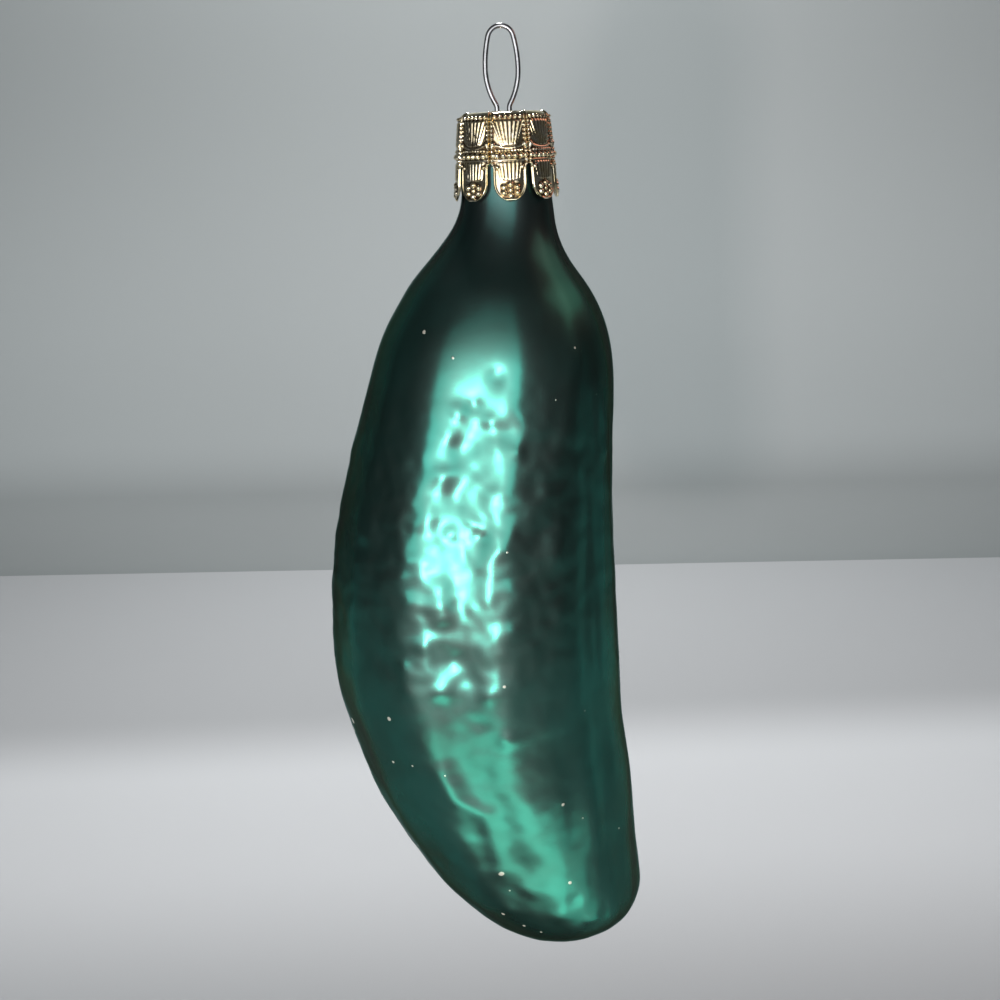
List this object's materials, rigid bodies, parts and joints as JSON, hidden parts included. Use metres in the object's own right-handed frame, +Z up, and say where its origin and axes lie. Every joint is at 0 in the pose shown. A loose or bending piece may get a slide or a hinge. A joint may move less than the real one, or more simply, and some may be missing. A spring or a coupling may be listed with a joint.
{
  "type": "hanging glass pickle ornament",
  "caption": "Bent, ribbed glass gherkin ornament with a petalled crown cap and a sprung wire hanging loop.",
  "frame": {"origin": "inside of the top of the wire loop, where a hook bears", "axes": "+Z up along the neck and the loop, +X towards the side that the tip bends back to, -Y out of the flatter front"},
  "size_m": [0.039, 0.0323, 0.1175],
  "materials": {
    "green_lacquered_glass": "silvered inside, satin green lacquer outside",
    "gold_cap_metal": "bright stamped",
    "spring_wire": "bright drawn wire"
  },
  "bodies": {
    "hanger": {"wire_hanger": "spring_wire"},
    "cap": {"crown_cap": "gold_cap_metal"},
    "glass": {"glass_body": "green_lacquered_glass"}
  },
  "joints": [
    {"name": "pull_off", "type": "slide", "parent": "hanger", "child": "cap", "axis": [0, 0, -1], "range_m": [0, 0.0225], "deforming": ["wire_hanger"]},
    {"name": "neck_turn", "type": "hinge", "parent": "cap", "child": "glass", "pos_m": [0, 0, -0.0114], "axis": [0, 0, 1], "continuous": true}
  ]
}
